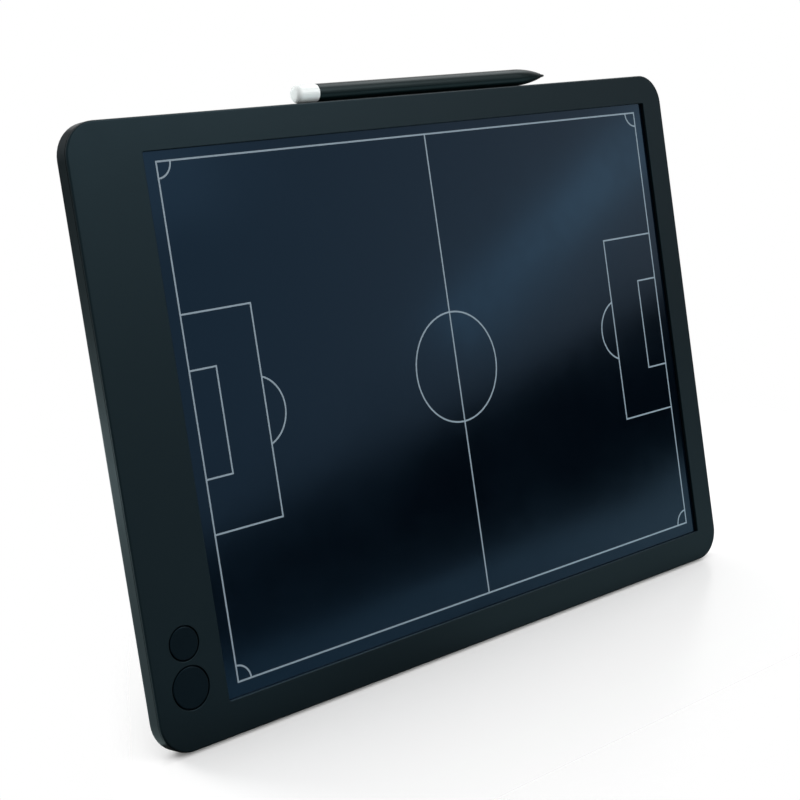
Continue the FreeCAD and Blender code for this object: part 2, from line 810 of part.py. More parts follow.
def make_stylus_nib():
    """The hard rounded writing tip on its shank."""
    u_base = stylus_right - nib_length
    u_round = stylus_right - nib_tip_radius
    u_shank = u_base - nib_shank_length
    round_middle = FreeCAD.Vector(
        u_round + nib_tip_radius * math.sin(math.pi / 4),
        v_stylus + nib_tip_radius * math.cos(math.pi / 4),
        w_middle,
    )
    side = [
        stylus_point(u_shank, 0),
        stylus_point(u_shank, nib_shank_radius),
        stylus_point(u_base, nib_shank_radius),
        stylus_point(u_base, nib_radius),
        stylus_point(u_round, nib_tip_radius),
    ]
    edges = stylus_outline(side)
    edges.append(Part.Arc(side[-1], round_middle, stylus_point(stylus_right, 0)).toShape())
    edges += stylus_outline([stylus_point(stylus_right, 0), side[0]])
    return turned(edges, v_stylus, w_middle)


def make_stylus_keeper():
    """The steel rod in the barrel that the board's magnets pull on."""
    u_start = stylus_left + cap_length + cap_spigot_length
    return axle(keeper_radius, u_start, u_start + keeper_length, v_stylus, w_middle)


def make_pen_magnets():
    """Two bar magnets on the tray's floor, against its top wall."""
    v_wall = case_rect.v_high - side_wall
    magnets = []
    for side in (-1, 1):
        place = Place(stylus_offset + side * magnet_spacing / 2, v_wall - magnet_depth / 2)
        magnet = centred(place, magnet_length, magnet_depth)
        magnets.append(block(magnet, w_cover_inner, w_cover_inner + magnet_height))
    return Part.makeCompound(magnets)


def make_screws(places, w_seat, head_radius, head_height, shank_radius, length):
    """A set of like screws as separate solids."""
    return Part.makeCompound(
        [screw(place, w_seat, head_radius, head_height, shank_radius, length) for place in places]
    )


pieces = {
    "front_bezel": make_front_bezel(),
    "rear_cover": make_rear_cover(),
    "writing_film": plate(film_rect, film_corner_radius, w_film_rear, 0),
    "pitch_markings": make_pitch_markings(),
    "film_tape": make_film_tape(),
    "backing_board": plate(film_rect, film_corner_radius, w_backing_rear, w_film_rear),
    "film_tail": make_film_tail(),
    "control_board": make_control_board(),
    "driver_chip": make_board_part(chip_place, chip_size, chip_size, chip_height),
    "boost_inductor": make_board_part(inductor_place, inductor_size, inductor_size, inductor_height),
    "storage_capacitor": make_board_part(
        capacitor_place, capacitor_width, capacitor_length, capacitor_height
    ),
    "tail_connector": make_board_part(connector_place, connector_width, connector_length, connector_height),
    "erase_switch": make_switch(erase_place),
    "lock_switch": make_switch(lock_place),
    "erase_switch_stem": make_switch_stem(erase_place),
    "lock_switch_stem": make_switch_stem(lock_place),
    "erase_button": make_button(erase_place, erase_radius),
    "lock_button": make_button(lock_place, lock_radius),
    "coin_cell": make_coin_cell(),
    "cell_contact_positive": make_positive_contact(),
    "cell_contact_negative": make_negative_contact(),
    "battery_door": make_battery_door(),
    "battery_door_screws": make_screws(
        door_screw_places,
        w_back + door_recess_depth,
        door_head_radius,
        door_head_height,
        door_shank_radius,
        door_screw_length,
    ),
    "case_screws": make_screws(
        case_screw_places,
        w_case_seat,
        case_head_radius,
        case_head_height,
        case_shank_radius,
        case_screw_length,
    ),
    "board_screws": make_screws(
        board_screw_places,
        w_board_rear,
        board_head_radius,
        board_head_height,
        board_shank_radius,
        board_screw_length,
    ),
    "pen_magnets": make_pen_magnets(),
    "stylus_barrel": make_stylus_barrel(),
    "stylus_cap": make_stylus_cap(),
    "stylus_nib": make_stylus_nib(),
    "stylus_keeper": make_stylus_keeper(),
    "stand_leg": make_stand_leg(),
    "stand_hinge_pin": make_hinge_pin(),
    "stand_foot": make_stand_foot(),
}

# Stand the board up, leaning back, with the middle of its footprint at the origin
upright = FreeCAD.Placement(FreeCAD.Vector(), FreeCAD.Rotation(U_AXIS, 90 - lean_angle))
for piece in pieces.values():
    piece.Placement = upright.multiply(piece.Placement)
extent = Part.makeCompound(list(pieces.values())).optimalBoundingBox(False, False)
to_origin = FreeCAD.Placement(
    FreeCAD.Vector(-extent.Center.x, -extent.Center.y, -extent.ZMin), FreeCAD.Rotation()
)

os.makedirs("parts", exist_ok=True)
for name, piece in pieces.items():
    piece.Placement = to_origin.multiply(piece.Placement)
    piece.exportStep("parts/" + name + ".step")
    print(name, len(piece.Solids), piece.isValid(), round(piece.Volume, 1))
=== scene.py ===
"""Looks of a tactics board: a writing tablet with a printed pitch, its stylus and its fold-out leg."""

import json
import logging
import math
from dataclasses import dataclass
from enum import Enum
from typing import Iterator, Sequence

import bmesh
import bpy
from mathutils import Matrix, Vector


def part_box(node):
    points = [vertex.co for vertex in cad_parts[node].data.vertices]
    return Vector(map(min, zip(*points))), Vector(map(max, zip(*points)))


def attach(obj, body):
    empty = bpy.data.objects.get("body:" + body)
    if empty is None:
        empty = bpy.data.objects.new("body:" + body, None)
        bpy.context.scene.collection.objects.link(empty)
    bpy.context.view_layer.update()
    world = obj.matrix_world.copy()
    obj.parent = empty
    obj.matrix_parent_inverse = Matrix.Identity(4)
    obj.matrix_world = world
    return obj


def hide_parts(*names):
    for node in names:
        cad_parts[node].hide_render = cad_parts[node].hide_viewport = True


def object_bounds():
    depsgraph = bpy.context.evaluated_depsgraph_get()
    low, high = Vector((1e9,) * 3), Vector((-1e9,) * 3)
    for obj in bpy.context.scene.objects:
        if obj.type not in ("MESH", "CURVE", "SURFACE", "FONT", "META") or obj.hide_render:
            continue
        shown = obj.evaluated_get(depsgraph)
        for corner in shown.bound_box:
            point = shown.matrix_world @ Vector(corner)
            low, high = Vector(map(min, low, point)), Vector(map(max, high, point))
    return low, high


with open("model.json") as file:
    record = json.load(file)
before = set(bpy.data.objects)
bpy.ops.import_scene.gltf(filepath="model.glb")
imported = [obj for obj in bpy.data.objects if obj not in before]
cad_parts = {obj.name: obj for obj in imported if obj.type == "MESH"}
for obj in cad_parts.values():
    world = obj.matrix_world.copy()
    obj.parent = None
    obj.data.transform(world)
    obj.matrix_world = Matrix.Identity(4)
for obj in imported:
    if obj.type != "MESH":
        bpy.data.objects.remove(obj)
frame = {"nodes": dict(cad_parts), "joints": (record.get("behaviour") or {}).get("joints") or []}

CAD_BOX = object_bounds()
LOG = logging.getLogger("tactics_board")

Colour = tuple[float, float, float]
Place = tuple[float, float, float]
Point = tuple[float, float]
Socket = bpy.types.NodeSocket
Node = bpy.types.Node
Tree = bpy.types.NodeTree
Piece = bpy.types.Object
Shape = bmesh.types.BMesh
Inputs = dict[str | int, object]

WHITE: Colour = (1.0, 1.0, 1.0)
BLACK: Colour = (0.0, 0.0, 0.0)
NOISE_MIDDLE: Point = (0.3, 0.7)
WELD_DISTANCE = 1e-6
SHARP_ANGLE = math.radians(35.0)
ROUND_PROFILE = 0.5


class Texture(Enum):
    """The kinds of fine relief that a finish can have."""

    GRAIN = "moulded grain"
    SHEET = "smooth sheet"
    BRUSHED = "brushed metal"
    TRACES = "circuit traces"


class Body(Enum):
    """The bodies of the board that new pieces ride on."""

    BOARD = "board"
    DOOR = "battery_door"
    LEG = "stand_leg"


def opaque(colour: Sequence[float]) -> tuple[float, ...]:
    """Gives a colour its alpha."""
    return (*colour, 1.0)


class NodeBuilder:
    """Adds nodes to one node tree and links them."""

    def __init__(self, tree: Tree) -> None:
        """Keeps the tree that the nodes go into."""
        self.tree = tree

    def feed(self, node: Node, inputs: Inputs) -> None:
        """Links sockets to a node's inputs, or sets the inputs to plain values.

        Args:
            node: The node.
            inputs: Sockets or plain values by the names or numbers of the inputs.
        """
        for name, value in inputs.items():
            if isinstance(value, Socket):
                self.tree.links.new(value, node.inputs[name])
            else:
                node.inputs[name].default_value = value

    def add(self, kind: str, inputs: Inputs | None = None, **settings: object) -> Node:
        """Adds a node.

        Args:
            kind: Blender's name of the node type.
            inputs: Sockets or plain values by the names or numbers of the inputs.
            **settings: Properties of the node and their values.

        Returns:
            The new node.
        """
        node = self.tree.nodes.new(kind)
        for name, value in settings.items():
            setattr(node, name, value)
        self.feed(node, inputs or {})
        return node

    def math(self, operation: str, *values: object) -> Socket:
        """Adds a math node on sockets or numbers and gives its result."""
        node = self.add("ShaderNodeMath", dict(enumerate(values)), operation=operation)
        return node.outputs[0]

    def noise(self, place: Socket, scale: Socket, detail: float) -> Socket:
        """Adds a noise with features in a metre and octaves, and gives its values about one half."""
        node = self.add("ShaderNodeTexNoise", {"Vector": place, "Scale": scale, "Detail": detail})
        return node.outputs[0]

    def spread(self, value: Socket) -> Socket:
        """Spreads the middle of a noise over the range from 0 to 1."""
        limits = {"Value": value, "From Min": NOISE_MIDDLE[0], "From Max": NOISE_MIDDLE[1]}
        return self.add("ShaderNodeMapRange", limits, interpolation_type="SMOOTHSTEP").outputs[0]

    def near(self, place: Socket, axis: Vector, middle: float, reach: float) -> Socket:
        """Gives 1 where coordinates along an axis are within reach of a middle, and 0 elsewhere."""
        along = self.add("ShaderNodeVectorMath", {0: place, 1: axis}, operation="DOT_PRODUCT")
        return self.math("COMPARE", along.outputs["Value"], middle, reach)

    def blend(self, mask: Socket, low: object, high: object) -> Socket:
        """Blends two colours.

        Args:
            mask: The share of the second colour.
            low: The first colour, as a socket or a value.
            high: The second colour, as a socket or a value.

        Returns:
            The socket with the blend.
        """
        node = self.add("ShaderNodeMix", {0: mask}, data_type="RGBA")
        numbers = [number for number, item in enumerate(node.inputs) if item.type == "RGBA"]
        self.feed(node, dict(zip(numbers, (low, high))))
        return next(item for item in node.outputs if item.type == "RGBA")


class MaterialBuilder(NodeBuilder):
    """Adds nodes to a material round its shader."""

    def __init__(self, material: bpy.types.Material) -> None:
        """Keeps the material's nodes and its shader.

        Args:
            material: A new or a finished material.
        """
        material.use_nodes = True
        super().__init__(material.node_tree)
        self.shader = self.tree.nodes["Principled BSDF"]

    def place(self) -> Socket:
        """Gives the object coordinates."""
        return self.add("ShaderNodeTexCoord").outputs["Object"]


class GroupBuilder(NodeBuilder):
    """Builds a node group with named inputs and outputs."""

    def __init__(self, name: str, kind: str, inputs: dict[str, str], outputs: dict[str, str]) -> None:
        """Starts the group.

        Args:
            name: The group's name.
            kind: Blender's name of the tree type.
            inputs: Socket kinds by the names of the inputs.
            outputs: Socket kinds by the names of the outputs.
        """
        super().__init__(bpy.data.node_groups.new(name, kind))
        for in_out, sockets in (("INPUT", inputs), ("OUTPUT", outputs)):
            for label, socket in sockets.items():
                socket_type = "NodeSocket" + socket
                self.tree.interface.new_socket(name=label, in_out=in_out, socket_type=socket_type)
        self.given = self.add("NodeGroupInput").outputs
        self.sink = self.add("NodeGroupOutput")

    def finished(self, results: dict[str, Socket]) -> Tree:
        """Feeds the outputs and gives the group."""
        self.feed(self.sink, results)
        return self.tree


@dataclass
class SurfaceEffects:
    """Shader effects that several finishes share, each one node group."""

    cell_share: float = 0.6
    pit_detail: float = 3.0
    wave_detail: float = 1.0
    cloud_detail: float = 3.0
    scratch_detail: float = 4.0
    scratch_stretch: Place = (0.04, 1.0, 1.0)
    trace_gap: float = 0.05
    trace_offset: float = 0.37
    trace_squash: float = 0.6
    trace_squash_rows: int = 3
    patch_detail: float = 2.0
    patch_share: float = 0.7
    streak_factor: float = 7.0
    streak_detail: float = 4.0

    def __post_init__(self) -> None:
        """Builds the groups once."""
        makers = {
            Texture.GRAIN: self._grain,
            Texture.SHEET: self._sheet,
            Texture.BRUSHED: self._brushing,
            Texture.TRACES: self._traces,
        }
        inputs = {"Vector": "Vector", "Density": "Float", "Patches": "Float"}
        outputs = {"Height": "Float", "Mask": "Float"}
        self.reliefs = {}
        for texture, maker in makers.items():
            build = GroupBuilder(texture.value, "ShaderNodeTree", inputs, outputs)
            height, mask = maker(build, build.given["Vector"], build.given["Density"])
            self.reliefs[texture] = build.finished({"Height": height, "Mask": mask})
        self.handling = self._handling()

    def _grain(self, build: GroupBuilder, place: Socket, density: Socket) -> tuple[Socket, Socket]:
        """Adds the relief of spark-eroded mould tools.

        Args:
            build: The group.
            place: The coordinates.
            density: The number of grains in a metre.

        Returns:
            The height and a mask of the pits.
        """
        cells = build.add("ShaderNodeTexVoronoi", {"Vector": place, "Scale": density}, feature="SMOOTH_F1")
        fine = build.noise(place, density, self.pit_detail)
        height = build.math("MULTIPLY_ADD", cells.outputs["Distance"], self.cell_share, fine)
        return height, build.spread(fine)

    def _sheet(self, build: GroupBuilder, place: Socket, density: Socket) -> tuple[Socket, Socket]:
        """Adds the slow waves and cloudy tone of a smooth sheet."""
        waves = build.noise(place, density, self.wave_detail)
        return waves, build.noise(place, build.given["Patches"], self.cloud_detail)

    def _brushing(self, build: GroupBuilder, place: Socket, density: Socket) -> tuple[Socket, Socket]:
        """Adds fine parallel scratches.

        Args:
            build: The group.
            place: The coordinates.
            density: The number of scratches in a metre.

        Returns:
            The height and a mask of the scratches.
        """
        stretch = build.add("ShaderNodeMapping", {"Vector": place, "Scale": self.scratch_stretch})
        scratches = build.noise(stretch.outputs["Vector"], density, self.scratch_detail)
        return scratches, build.spread(scratches)

    def _traces(self, build: GroupBuilder, place: Socket, density: Socket) -> tuple[Socket, Socket]:
        """Adds the gaps between the traces of a circuit board, as a height and as a mask."""
        traces = build.add(
            "ShaderNodeTexBrick", {"Vector": place, "Scale": density, "Mortar Size": self.trace_gap},
            offset=self.trace_offset, squash=self.trace_squash, squash_frequency=self.trace_squash_rows,
        )
        return traces.outputs["Fac"], traces.outputs["Fac"]

    def _handling(self) -> Tree:
        """Builds the slow changes of gloss that hands and wiping leave.

        Returns:
            A group with a mask that is 0 where the surface is wiped and 1 where it is dull.
        """
        inputs = {"Vector": "Vector", "Patches": "Float"}
        build = GroupBuilder("handling marks", "ShaderNodeTree", inputs, {"Dulling": "Float"})
        place, patches = build.given["Vector"], build.given["Patches"]
        broad = build.noise(place, patches, self.patch_detail)
        narrow = build.math("MULTIPLY", patches, self.streak_factor)
        streaks = build.noise(place, narrow, self.streak_detail)
        wide = build.math("MULTIPLY", broad, self.patch_share)
        mixed = build.math("MULTIPLY_ADD", streaks, 1.0 - self.patch_share, wide)
        return build.finished({"Dulling": build.spread(mixed)})


@dataclass(frozen=True)
class Finish:
    """The look of one material slot.

    Lengths are in metres. The colour is linear. A finish has two values of roughness: where it is wiped
    and where it isn't.
    """

    slot: str
    colour: Colour
    roughness: Point
    texture: Texture = Texture.GRAIN
    relief_size: float = 0.0004
    relief_depth: float = 0.00001
    patch_size: float = 0.05
    shade: float = 0.12
    metallic: float = 0.0
    ior: float = 1.5
    specular_tint: Colour = WHITE

    def material(self, effects: SurfaceEffects) -> bpy.types.Material:
        """Builds the finish's material, or finds it if it is there.

        Args:
            effects: The shared node groups.

        Returns:
            The material.
        """
        name = "finish_" + self.slot
        if name in bpy.data.materials:
            return bpy.data.materials[name]
        material = bpy.data.materials.new(name)
        build = MaterialBuilder(material)
        patches = {"Vector": build.place(), "Patches": 1.0 / self.patch_size}
        scales = patches | {"Density": 1.0 / self.relief_size}
        relief = build.add("ShaderNodeGroup", scales, node_tree=effects.reliefs[self.texture]).outputs
        marks = build.add("ShaderNodeGroup", patches, node_tree=effects.handling).outputs
        bumps = {"Strength": 1.0, "Distance": self.relief_depth, "Height": relief["Height"]}
        wiped, dull = self.roughness
        dark = [channel * (1.0 - self.shade) for channel in self.colour]
        light = [min(1.0, channel * (1.0 + self.shade)) for channel in self.colour]
        looks = {
            "Base Color": build.blend(relief["Mask"], opaque(dark), opaque(light)),
            "Roughness": build.math("MULTIPLY_ADD", marks["Dulling"], dull - wiped, wiped),
            "Metallic": self.metallic,
            "IOR": self.ior,
            "Specular Tint": opaque(self.specular_tint),
            "Normal": build.add("ShaderNodeBump", bumps).outputs["Normal"],
        }
        build.feed(build.shader, looks)
        return material


@dataclass(frozen=True)
class Palette:
    """Every finish of the board."""

    case: Finish = Finish(
        "case_plastic", (0.0013, 0.0023, 0.0028), (0.36, 0.44),
        relief_size=0.00045, relief_depth=0.000008, patch_size=0.09,
        ior=1.38, specular_tint=(0.31, 0.58, 0.72),
    )
    button: Finish = Finish(
        "button_plastic", (0.0008, 0.0018, 0.003), (0.3, 0.36),
        relief_size=0.0003, relief_depth=0.000005,
        ior=1.38, specular_tint=(0.11, 0.27, 0.37),
    )
    film: Finish = Finish(
        "screen_film", (0.0003, 0.0016, 0.0036), (0.1, 0.14), Texture.SHEET,
        relief_size=0.09, relief_depth=0.0001, patch_size=0.06,
        ior=1.4, specular_tint=(0.23, 0.56, 1.0),
    )
    ink: Finish = Finish(
        "line_print", (0.245, 0.31, 0.365), (0.5, 0.6),
        relief_size=0.0005, relief_depth=0.000004, patch_size=0.02,
        shade=0.08,
    )
    barrel: Finish = Finish(
        "barrel_plastic", (0.002, 0.006, 0.0065), (0.3, 0.36),
        relief_size=0.0003, relief_depth=0.000003,
        ior=1.28, specular_tint=(0.7, 0.95, 1.0),
    )
    cap: Finish = Finish(
        "cap_plastic", (0.84, 0.88, 0.87), (0.2, 0.28), Texture.SHEET,
        relief_size=0.004, relief_depth=0.000004, patch_size=0.01,
        shade=0.02,
    )
    nib: Finish = Finish("nib_plastic", (0.006, 0.007, 0.008), (0.42, 0.5), relief_depth=0.000003)
    rubber: Finish = Finish("foot_rubber", (0.014, 0.014, 0.015), (0.75, 0.85), relief_size=0.0006)
    backing: Finish = Finish("backing_sheet", (0.045, 0.045, 0.05), (0.55, 0.65))
    tape: Finish = Finish("tape", (0.02, 0.02, 0.022), (0.6, 0.7), Texture.SHEET, relief_size=0.002)
    circuit: Finish = Finish(
        "circuit_board", (0.012, 0.1, 0.045), (0.28, 0.36), Texture.TRACES,
        relief_size=0.006, relief_depth=0.00002,
        shade=0.35,
    )
    component: Finish = Finish("component_black", (0.02, 0.02, 0.022), (0.45, 0.55), relief_depth=0.000005)
    pale: Finish = Finish("component_pale", (0.68, 0.64, 0.54), (0.4, 0.5), relief_depth=0.000004, shade=0.05)
    tail: Finish = Finish("flex_tail", (0.36, 0.16, 0.035), (0.18, 0.24), Texture.SHEET, relief_size=0.004)
    screw: Finish = Finish(
        "screw_steel", (0.09, 0.09, 0.095), (0.3, 0.4), Texture.BRUSHED,
        relief_size=0.0003, relief_depth=0.000003,
        metallic=1.0,
    )
    steel: Finish = Finish(
        "bright_steel", (0.55, 0.55, 0.56), (0.22, 0.32), Texture.BRUSHED,
        relief_size=0.0002, relief_depth=0.000002,
        metallic=1.0, shade=0.06,
    )
    contact: Finish = Finish(
        "contact_metal", (0.72, 0.58, 0.32), (0.22, 0.3), Texture.BRUSHED,
        relief_size=0.0003, relief_depth=0.000002,
        metallic=1.0, shade=0.06,
    )
    magnet: Finish = Finish(
        "magnet_plate", (0.68, 0.68, 0.7), (0.1, 0.16), Texture.SHEET,
        relief_size=0.003, relief_depth=0.000002,
        metallic=1.0, shade=0.04,
    )


@dataclass(frozen=True)
class BoardPlane:
    """The board's own directions in the row frame."""

    right: Vector
    up: Vector
    out: Vector

    @classmethod
    def from_frame(cls) -> "BoardPlane":
        """Reads the directions from the stylus and button joints.

        Returns:
            The directions, at right angles to each other.
        """
        axes = {joint["name"]: Vector(joint["axis"]).normalized() for joint in frame["joints"]}
        up = axes["stylus_lift"]
        out = -axes["erase_button_press"]
        return cls(up.cross(out), up, out)

    def limits(self, corners: Sequence[Vector]) -> tuple[Vector, Vector]:
        """Measures points along the board's directions.

        Args:
            corners: The points.

        Returns:
            The lowest and highest values to the right, up and out.
        """
        axes = (self.right, self.up, self.out)
        lows = Vector([min(corner.dot(axis) for corner in corners) for axis in axes])
        highs = Vector([max(corner.dot(axis) for corner in corners) for axis in axes])
        return lows, highs

    def span(self, node: str) -> tuple[Vector, Vector]:
        """Measures a CAD node along the board's directions."""
        return self.limits([vertex.co for vertex in frame["nodes"][node].data.vertices])

    def point(self, right: float, up: float, out: float) -> Vector:
        """Gives the row-frame point with those values along the board's directions."""
        return self.right * right + self.up * up + self.out * out

    def facing_back(self, place: Vector) -> Matrix:
        """Gives the matrix of a shape at a place, its own Z axis pointing out of the board's back."""
        turned = Matrix((-self.right, self.up, -self.out)).transposed()
        return Matrix.Translation(place) @ turned.to_4x4()


def islands(node: str) -> list[list[Vector]]:
    """Splits a CAD node's vertices into its separate solids.

    Args:
        node: The node's name.

    Returns:
        The vertices of each solid.
    """
    shape = bmesh.new()
    shape.from_mesh(frame["nodes"][node].data)
    bmesh.ops.remove_doubles(shape, verts=shape.verts, dist=WELD_DISTANCE)
    waiting = set(shape.verts)
    found = []
    while waiting:
        stack = [waiting.pop()]
        group = []
        while stack:
            vertex = stack.pop()
            group.append(vertex.co.copy())
            neighbours = {edge.other_vert(vertex) for edge in vertex.link_edges} & waiting
            waiting -= neighbours
            stack += neighbours
        found.append(group)
    shape.free()
    return found


def circle(radius: float, height: float, segments: int) -> list[Place]:
    """Gives the points of a level circle about Z.

    Args:
        radius: Its radius.
        height: Its height.
        segments: The number of points.

    Returns:
        The points, or one on the axis where the radius is 0.
    """
    if radius == 0.0:
        return [(0.0, 0.0, height)]
    angles = [2.0 * math.pi * step / segments for step in range(segments)]
    return [(radius * math.cos(angle), radius * math.sin(angle), height) for angle in angles]


def skin(shape: Shape, outlines: Sequence[Sequence[Place]], capped: bool) -> None:
    """Joins closed outlines, or single points, with faces that look outwards.

    Args:
        shape: The mesh that they go into.
        outlines: The points of each outline.
        capped: Whether the first and the last outline are closed too.
    """
    rings = [[shape.verts.new(point) for point in outline] for outline in outlines]
    faces = [shape.faces.new(ring) for ring in (rings[0][::-1], rings[-1])] if capped else []
    for lower, upper in zip(rings[:-1], rings[1:]):
        count = max(len(lower), len(upper))
        for step in range(count):
            following = (step + 1) % count
            corners = [lower[step % len(lower)], lower[following % len(lower)]]
            corners += [upper[following % len(upper)], upper[step % len(upper)]]
            faces.append(shape.faces.new(list(dict.fromkeys(corners))))
    bmesh.ops.recalc_face_normals(shape, faces=faces)


def revolved(profile: Sequence[Point], segments: int) -> Shape:
    """Turns an outline about Z into a closed skin.

    Args:
        profile: Points of (radius, height), from the axis round to the axis.
        segments: The number of steps round the axis.

    Returns:
        The mesh.
    """
    shape = bmesh.new()
    skin(shape, [circle(radius, height, segments) for radius, height in profile], False)
    return shape


def rounded(radius: float, height: float, edge: float, steps: int = 5) -> list[Point]:
    """Gives the outline of a quarter-round edge.

    Args:
        radius: The radius outside the edge.
        height: The height of the top.
        edge: The radius of the rounding.
        steps: The number of steps along it.

    Returns:
        Points from the side to the top.
    """
    angles = [0.5 * math.pi * step / steps for step in range(steps + 1)]
    return [(radius - edge + edge * math.cos(a), height - edge + edge * math.sin(a)) for a in angles]


def new_object(name: str, mesh: bpy.types.Mesh) -> Piece:
    """Puts a mesh into the scene as an object at the origin.

    Args:
        name: The object's name.
        mesh: The mesh.

    Returns:
        The object.
    """
    piece = bpy.data.objects.new(name, mesh)
    bpy.context.scene.collection.objects.link(piece)
    return piece


def as_object(name: str, shape: Shape) -> Piece:
    """Makes an object of a mesh under construction.

    Args:
        name: The object's name.
        shape: The mesh, which is freed.

    Returns:
        The object.
    """
    mesh = bpy.data.meshes.new(name)
    shape.to_mesh(mesh)
    shape.free()
    return new_object(name, mesh)


def smooth_by_angle(piece: Piece) -> None:
    """Shades a piece smooth, apart from its sharp edges."""
    piece.data.polygons.foreach_set("use_smooth", [True] * len(piece.data.polygons))
    piece.data.set_sharp_from_angle(angle=SHARP_ANGLE)


def baked(piece: Piece) -> Piece:
    """Turns a piece with modifiers into a plain mesh of the same name.

    Args:
        piece: The object, which is removed.

    Returns:
        The plain object.
    """
    bpy.context.view_layer.update()
    evaluated = piece.evaluated_get(bpy.context.evaluated_depsgraph_get())
    mesh = bpy.data.meshes.new_from_object(evaluated)
    name = piece.name
    bpy.data.objects.remove(piece)
    mesh.name = name
    return new_object(name, mesh)


class CopyTree(GroupBuilder):
    """A geometry tree that lays copies of a pattern object."""

    def __init__(self, name: str, inputs: dict[str, str]) -> None:
        """Starts the tree, with the kinds of its own inputs by their names."""
        common = {"Geometry": "Geometry", "Pattern": "Object", "Finish": "Material"}
        super().__init__(name, "GeometryNodeTree", common | inputs, {"Geometry": "Geometry"})

    def copies(self, points: Socket, **settings: Socket) -> Socket:
        """Puts a copy of the pattern on every point.

        Args:
            points: The points.
            **settings: Other inputs of the copies.

        Returns:
            The copies.
        """
        pattern = self.add("GeometryNodeObjectInfo", {"Object": self.given["Pattern"]})
        inputs = {"Points": points, "Instance": pattern.outputs["Geometry"]} | settings
        return self.add("GeometryNodeInstanceOnPoints", inputs).outputs["Instances"]

    def real(self, copies: Socket) -> Socket:
        """Turns copies into a mesh."""
        return self.add("GeometryNodeRealizeInstances", {"Geometry": copies}).outputs["Geometry"]

    def dressed(self, geometry: Socket) -> Tree:
        """Gives the mesh its finish and ends the tree."""
        finish = self.add("GeometryNodeSetMaterial", {"Geometry": geometry, "Material": self.given["Finish"]})
        return self.finished({"Geometry": finish.outputs["Geometry"]})


def screw_tree() -> Tree:
    """Builds the tree that puts a screw on every point, each turned its own way.

    Returns:
        The geometry tree.
    """
    build = CopyTree("screws_on_points", {"Facing": "Vector", "Seed": "Int"})
    facing = build.add("FunctionNodeEulerToRotation", {"Euler": build.given["Facing"]})
    placed = build.copies(build.given["Geometry"], Rotation=facing.outputs["Rotation"])
    turn = build.add("FunctionNodeRandomValue", {"Seed": build.given["Seed"]}, data_type="FLOAT")
    low, high = [item for item in turn.inputs if item.type == "VALUE" and item.enabled]
    low.default_value = 0.0
    high.default_value = 0.5 * math.pi
    angle = next(item for item in turn.outputs if item.enabled)
    spin = build.add("ShaderNodeCombineXYZ", {"Z": angle}).outputs["Vector"]
    turned = build.add("GeometryNodeRotateInstances", {"Instances": placed, "Rotation": spin})
    return build.dressed(build.real(turned.outputs["Instances"]))


def rib_tree() -> Tree:
    """Builds the tree that lays a row of ribs along X on a strip.

    Returns:
        The geometry tree.
    """
    build = CopyTree("ribs_in_a_row", {"Count": "Int", "Start": "Vector", "Step": "Vector"})
    layout = {"Count": "Count", "Start Location": "Start", "Offset": "Step"}
    inputs = {name: build.given[source] for name, source in layout.items()}
    row = build.add("GeometryNodeMeshLine", inputs, mode="OFFSET")
    ribs = build.real(build.copies(row.outputs["Mesh"]))
    joined = build.add("GeometryNodeJoinGeometry", {"Geometry": ribs})
    build.feed(joined, {"Geometry": build.given["Geometry"]})
    return build.dressed(joined.outputs["Geometry"])


def patterned(holder: Piece, tree: Tree, pattern: Piece, values: dict[str, object]) -> Piece:
    """Lays copies of a pattern on an object.

    Args:
        holder: The object, which is removed.
        tree: The geometry tree that lays them.
        pattern: The object that is copied, which is removed.
        values: Values by the names of the tree's other inputs.

    Returns:
        The plain mesh of all copies.
    """
    modifier = holder.modifiers.new("copies", "NODES")
    modifier.node_group = tree
    values = values | {"Pattern": pattern}
    for item in tree.interface.items_tree:
        if item.name in values:
            modifier[item.identifier] = values[item.name]
    piece = baked(holder)
    bpy.data.objects.remove(pattern)
    return piece


@dataclass
class SubAssembly:
    """What every sub-assembly of the board has in common."""

    effects: SurfaceEffects
    palette: Palette
    plane: BoardPlane

    def build(self) -> None:
        """Makes new pieces, where the sub-assembly has any."""

    def dress(self) -> None:
        """Gives the CAD nodes their finishes."""

    def dress_nodes(self, finish: Finish, *nodes: str) -> None:
        """Gives CAD nodes a finish.

        Args:
            finish: The finish.
            *nodes: The nodes' names.
        """
        for node in nodes:
            frame["nodes"][node].data.materials[0] = finish.material(self.effects)
            LOG.info("%s keeps its solid, finish %s", node, finish.slot)

    def settle(self, piece: Piece, body: Body, finish: Finish, *nodes: str) -> None:
        """Puts a new piece on its body, in place of CAD nodes.

        Args:
            piece: The finished object.
            body: The body that it rides on.
            finish: The finish that it wears.
            *nodes: The nodes that it stands for.
        """
        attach(piece, body.value)
        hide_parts(*nodes)
        LOG.info("%s stands for %s, finish %s", piece.name, ", ".join(nodes), finish.slot)


